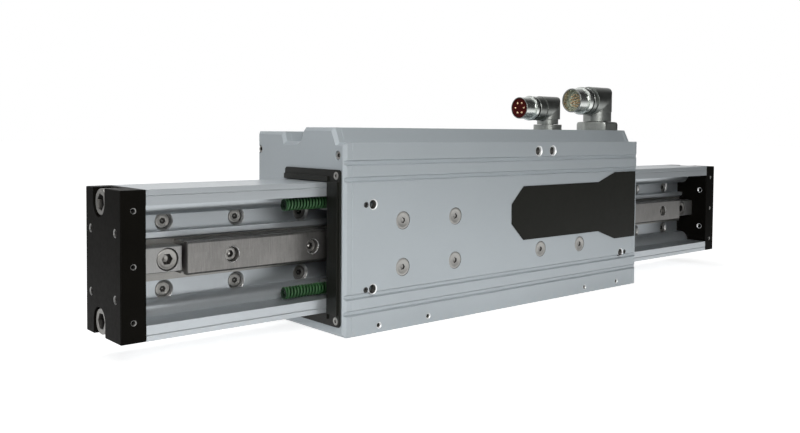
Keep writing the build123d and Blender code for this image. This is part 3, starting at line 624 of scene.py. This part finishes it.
# The dowel holes are lined all in painted shade.
rims("dowel_rims",
     [towards((i * DOWEL_X, FACE_Y, AXIS_Z + j * MOUNT_RISE), FRONT) for i, j in corners],
     "housing", [recess_painted_shade, recess_painted_shade], radius=1.45, width=0.5, threads=3)
rims("strip_rims",
     [towards((i * x, FACE_Y, STRIP_Z), FRONT) for i in (-1, 1) for x in STRIP_X],
     "housing", bore_finish, radius=2.0, width=0.2, threads=5, bright=0.8,
     cone=0.45)
rims("port_rims", [towards((x, FACE_Y, PORT_Z), FRONT) for x in PORT_X],
     "housing", bore_finish, radius=4.05, width=0.25, threads=9, bright=1.6,
     cone=0.6)
rims("plate_rims",
     [towards((x - s * PLATE_INSET, PLATE_Y + i * PLATE_STEP_Y, AXIS_Z + j * PLATE_RISE),
              (s, 0, 0))
      for x, s in end_faces for i in (0, 1) for j in (-1, 1)],
     "slide", plate_finish, radius=2.45, width=0.06, threads=3, bright=0.5,
     cone=0.3)
rims("inner_rims",
     [towards((x, PLATE_Y, AXIS_Z + j * PLATE_RISE), (s, 0, 0))
      for x, s in inner_faces for j in (-1, 1)],
     "slide", bore_finish, radius=2.45, width=0.2, threads=0, cone=0.6)
rims("edge_rims",
     [towards(((a.x + b.x) / 2, a.y, AXIS_Z + j * EDGE_RISE), FRONT)
      for a, b in ((plate_low, plate_high), (far_low, far_high)) for j in (-1, 0, 1)],
     "slide", plate_finish, radius=1.65, width=0.06, threads=4, bright=0.4,
     cone=0.4)


# Connectors: a round rubber ring by the elbow, a turned sleeve with a rubber band and a collar,
# a carrier with its contacts, and the nut or flange at the foot

CONNECTOR_Y = -23.1


def turned(name, node, rings, place_x, axis_height, body, materials, close="ends"):
    """A turned piece on a connector's plug axis, with heights from the connector's middle."""
    place = towards((place_x, CONNECTOR_Y, axis_height), (-1, 0, 0))
    verts, faces, mats = lathe(rings, [place], 56, close)
    piece = make_piece(name, verts, faces, materials, body, mats)
    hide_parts(node)


def sleeve_rings(size):
    """The plug sleeve: a plain barrel, a rubber band, a collar and an open mouth.

    Materials: 0 plated, 1 cast like the elbow, 2 rubber."""
    start, band = size["ring_to"], size["band_from"]
    collar_end, face = size["collar_at"], size["face"]
    barrel, collar, sleeve, shell = size["barrel"], size["collar"], size["sleeve"], size["shell"]
    floor_height = face - size["cavity"]
    skirt = size["ring_from"] + 0.1
    return [(0, shell - 0.3, start, 1), (0, barrel - 0.7, start, 1), (0, barrel - 0.7, skirt, 1),
            (0, barrel - 0.2, skirt, 1), (0, barrel, skirt + 0.2, 1), (0, barrel, band - 0.3, 1),
            (0, barrel - 0.3, band, 1), (0, barrel - 0.1, band + 0.4, 2),
            (0, barrel - 0.1, band + 1.9, 2), (0, barrel - 0.3, band + 2.3, 2),
            (0, collar - 0.3, band + 2.4, 0), (0, collar, band + 2.7, 0),
            (0, collar, collar_end - 0.9, 0), (0, collar - 0.35, collar_end - 0.3, 0),
            (0, sleeve - 0.25, collar_end, 0), (0, sleeve - 0.25, collar_end + 0.7, 0),
            (0, sleeve, collar_end + 1.0, 0), (0, sleeve, face - 0.3, 0),
            (0, sleeve - 0.2, face, 1), (0, shell + 0.1, face, 1), (0, shell, face - 0.2, 1),
            (0, shell, floor_height, 0), (0, 0.3, floor_height, 0)]


def rubber_rings(start, end, inner, outer, steps=12):
    """A rubber ring's rounded outside from one side to the other, for a loop."""
    middle, half, thick = (start + end) / 2, (end - start) / 2, outer - inner
    angles = [pi * k / steps for k in range(steps + 1)]
    return [(0, inner + thick * sin(a) ** 0.6, middle - half * cos(a), 0) for a in angles]


def connector(kind, place_x, axis_height, size):
    """A connector's rubber ring, sleeve, carrier and contacts, which turn with its elbow."""
    body = kind + "_connector"
    turned(kind + "_ring", kind + "_o_ring",
           rubber_rings(size["ring_from"] + 0.2, size["ring_to"] - 0.1, size["ring"] - 1.6,
                        size["ring"]),
           place_x, axis_height, body, [black_rubber], "loop")
    turned(kind + "_shell", kind + "_sleeve", sleeve_rings(size), place_x, axis_height, body,
           [nickel, nickel_cast, black_rubber])
    insert_face = size["face"] - size["cavity"] + size["insert"]
    turned(kind + "_carrier", kind + "_insert",
           [(0, size["shell"] - 0.05, insert_face - size["insert"] + 0.1, 0),
            (0, size["shell"] - 0.05, insert_face - 0.3, 0),
            (0, size["shell"] - 0.35, insert_face, 0), (0, size["lip"], insert_face, 0),
            (0, size["lip"] - 0.3, insert_face - 0.35, 0), (0, 0.3, insert_face - 0.35, 0)],
           place_x, axis_height, body, [size["plastic"]])
    carrier_face = towards((place_x - insert_face, CONNECTOR_Y, axis_height), (-1, 0, 0))
    pins = []
    for radius, count, turn in size["pins"]:
        for k in range(count):
            a = turn + 2 * pi * k / count
            pins.append(carrier_face @ Matrix.Translation((radius * cos(a), radius * sin(a), 0)))
    r, tall = size["pin"], size["pin_height"]
    verts, faces, mats = lathe([(0, r, -0.3, 0), (0, r, tall - r * 0.5, 0),
                                (0, r * 0.75, tall - r * 0.15, 0), (0, r * 0.3, tall, 0)],
                               pins, 14)
    piece = make_piece(kind + "_contacts", verts, faces, [gold], body, mats)
    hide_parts(kind + "_pins")


# Lengths run along the plug's axis from the connector's middle, and the rest are radii. Pins
# are circles of (radius, count, turn).

connector("power", place_x=74.3, axis_height=154.7, size=dict(
    ring_from=11.5, ring_to=14.1, ring=9.0, barrel=9.9, band_from=20.0, sleeve=8.8, collar=10.2,
    collar_at=25.4, face=36.6, shell=8.2, cavity=10.5, insert=9.9, lip=7.6, plastic=red_plastic,
    plastic_slot="red_plastic", pins=((4.5, 6, 0.0),), pin=0.75, pin_height=0.55))
connector("feedback", place_x=143.7, axis_height=162.8, size=dict(
    ring_from=14.5, ring_to=17.3, ring=11.0, barrel=11.9, band_from=19.2, sleeve=10.5, collar=12.2,
    collar_at=26.0, face=37.4, shell=9.4, cavity=11.0, insert=2.5, lip=8.4, plastic=pale_plastic,
    plastic_slot="pale_plastic", pins=((5.2, 11, 0.1), (2.6, 6, 0.3)), pin=0.5, pin_height=3.9))


def base_nut(name, node, shape, radius, bore, edge):
    """A connector's base: a nut or a round flange whose upper corners are turned off."""
    low, high = (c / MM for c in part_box(node))
    tall = high.z - low.z
    flat = radius * cos(pi / 6) if shape else radius - edge
    rings = [(0, bore, tall - 0.01, 0), (0, bore, 0.02, 0), (shape, radius, 0.02, 0),
             (shape, radius, tall - edge - (radius - flat) * 0.7, 0, radius),
             (shape, radius, tall - edge, 0, (radius + flat) / 2 + 0.3),
             (shape, radius, tall, 0, flat)]
    place = Matrix.Translation(((low.x + high.x) / 2, (low.y + high.y) / 2, low.z))
    verts, faces, mats = lathe(rings, [place], 96, "loop")
    piece = make_piece(name, verts, faces, [nickel_cast], "housing", mats)
    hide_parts(node)


base_nut("feedback_nut", "feedback_base", shape=6, radius=18.1, bore=7.05, edge=0.4)
base_nut("power_flange", "power_base", shape=0, radius=11.8, bore=5.05, edge=0.8)


# Camera at the photograph's place. The angles are in radians, and the focal length and the
# middle of the view are in pixels of the photograph.

IMAGE_WIDTH, IMAGE_HEIGHT = 800, 433
FOCAL_LENGTH, CENTRE_X, CENTRE_Y = 850.26, 401.73, 164.77
SENSOR_WIDTH = 36.0
EYE = (-0.49362, -0.48977, 0.13515)
YAW, PITCH, ROLL = 0.71367, 0.04005, 0.0078956

scene = bpy.context.scene
forward = Vector((sin(YAW) * cos(PITCH), cos(YAW) * cos(PITCH), -sin(PITCH)))
level = Vector((cos(YAW), -sin(YAW), 0))
raised = level.cross(forward)
right = cos(ROLL) * level + sin(ROLL) * raised
up = -sin(ROLL) * level + cos(ROLL) * raised
camera_data = bpy.data.cameras.new("photo_camera")
camera = bpy.data.objects.new("photo_camera", camera_data)
scene.collection.objects.link(camera)
facing = Matrix((right, up, -forward)).transposed().to_4x4()
camera.matrix_world = Matrix.Translation(EYE) @ facing
camera_data.sensor_width = SENSOR_WIDTH
camera_data.lens = FOCAL_LENGTH / IMAGE_WIDTH * SENSOR_WIDTH
camera_data.shift_x = (IMAGE_WIDTH / 2 - CENTRE_X) / IMAGE_WIDTH
camera_data.shift_y = (CENTRE_Y - IMAGE_HEIGHT / 2) / IMAGE_WIDTH
camera_data.clip_start = 0.02
scene.camera = camera


# Floor and light

FLOOR_REACH, FLOOR_Z = 8, -0.0005


def area_light(name, place, target, width, depth, power, colour=(1, 1, 1), fan=180):
    """A rectangular lamp aimed at a target, whose light stays within a fan of degrees."""
    data = bpy.data.lights.new(name, "AREA")
    data.shape = "RECTANGLE"
    data.size = width
    data.size_y = depth
    data.spread = radians(fan)
    data.energy = power
    data.color = colour
    light = bpy.data.objects.new(name, data)
    light.location = place
    direction = Vector(target) - Vector(place)
    light.rotation_euler = direction.to_track_quat("-Z", "Y").to_euler()
    scene.collection.objects.link(light)


def ray_kinds(tree):
    """Whether a ray comes from the camera, and whether it comes off metal or through glass."""
    rays = tree.nodes.new("ShaderNodeLightPath")
    mirrored = combine(tree, "MAXIMUM", rays.outputs["Is Glossy Ray"],
                       rays.outputs["Is Transmission Ray"])
    return rays.outputs["Is Camera Ray"], mirrored


floor_mesh = bpy.data.meshes.new("floor")
floor_mesh.from_pydata([(i * FLOOR_REACH, j * FLOOR_REACH, FLOOR_Z)
                        for i, j in ((-1, -1), (1, -1), (1, 1), (-1, 1))], [], [(0, 1, 2, 3)])
floor = bpy.data.objects.new("floor", floor_mesh)
scene.collection.objects.link(floor)
floor_material, tree, shader = new_material("floor")
shader.inputs["Roughness"].default_value = 0.9
shader.inputs["Specular IOR Level"].default_value = 0.0
speckle = noise(tree, coordinates(tree, (1, 1, 1)), 90.0, 3.0)
tree.links.new(ramp(tree, speckle, [(0.3, (0.62, 0.62, 0.62)), (0.7, (0.65, 0.65, 0.65))]),
               shader.inputs["Base Color"])
shader.inputs["Emission Color"].default_value = (1, 1, 1, 1)

# The floor shines towards the camera, a little less close by. In reflections it is brightest at a
# middle distance: darker under the part, a painted shadow, and darker again far away.

away = tree.nodes.new("ShaderNodeVectorMath")
away.operation = "LENGTH"
tree.links.new(coordinates(tree, (1, 1, 1)), away.inputs[0])
distance = away.outputs["Value"]
seen, mirrored = ray_kinds(tree)
# The second fall is a painted shadow under the part, seen in reflections.
for fall in (spread(tree, distance, 0.95, 0.25, 0.35, 1.1),
             spread(tree, distance, 0.70, 1.0, 0.15, 0.32)):
    mirrored = combine(tree, "MULTIPLY", mirrored, fall)
seen = combine(tree, "MULTIPLY", seen, spread(tree, distance, 0.76, 1.0, 0.4, 1.8))
tree.links.new(combine(tree, "MAXIMUM", seen, mirrored), shader.inputs["Emission Strength"])
floor_mesh.materials.append(floor_material)

# The backdrop is white to the camera, and white in reflections behind the object. On the
# side that the camera looks from, and overhead, the room is darker, which gives metal its
# contrast.

world = bpy.data.worlds.new("studio")
scene.world = world
world.use_nodes = True
tree = world.node_tree
tree.nodes.clear()
out = tree.nodes.new("ShaderNodeOutputWorld")


def background(colour, strength):
    node = tree.nodes.new("ShaderNodeBackground")
    node.inputs["Color"].default_value = (*colour, 1)
    if isinstance(strength, float):
        node.inputs["Strength"].default_value = strength
    else:
        tree.links.new(strength, node.inputs["Strength"])
    return node.outputs["Background"]


def choose(factor, first, second):
    node = tree.nodes.new("ShaderNodeMixShader")
    tree.links.new(factor, node.inputs["Fac"])
    tree.links.new(first, node.inputs[1])
    tree.links.new(second, node.inputs[2])
    return node.outputs["Shader"]


heading = tree.nodes.new("ShaderNodeTexCoord")
across = tree.nodes.new("ShaderNodeVectorMath")
across.operation = "DOT_PRODUCT"
across.inputs[1].default_value = (-0.35, 0.9, 0.15)
tree.links.new(heading.outputs["Generated"], across.inputs[0])
height = tree.nodes.new("ShaderNodeSeparateXYZ")
tree.links.new(heading.outputs["Generated"], height.inputs["Vector"])
ceiling = spread(tree, height.outputs["Z"], 1.0, 0.25, 0.30, 0.75)
behind = spread(tree, across.outputs["Value"], 0.06, 1.0, -0.28, 0.30)
room = combine(tree, "MULTIPLY", behind, ceiling)
seen, mirrored = ray_kinds(tree)
lit = choose(mirrored, background((0.95, 0.98, 1.0), 0.11), background((1, 1, 1), room))
tree.links.new(choose(seen, lit, background((1, 1, 1), 1.0)), out.inputs["Surface"])

area_light("key", (-0.46, -0.78, 0.44), (-0.08, 0, 0.02), width=0.45, depth=0.4, power=1.03,
           colour=(1, 0.99, 0.97), fan=70)
area_light("left", (-1.15, -0.25, 1.25), (-0.1, 0, 0.08), width=0.5, depth=0.5, power=2.0)
area_light("front_top", (0.15, -0.7, 1.3), (0, 0, 0.05), width=0.5, depth=0.5, power=1.4)
area_light("top", (-0.1, 0.4, 1.7), (-0.05, 0, 0), width=1.0, depth=0.7, power=12)

scene.view_settings.view_transform = "Standard"
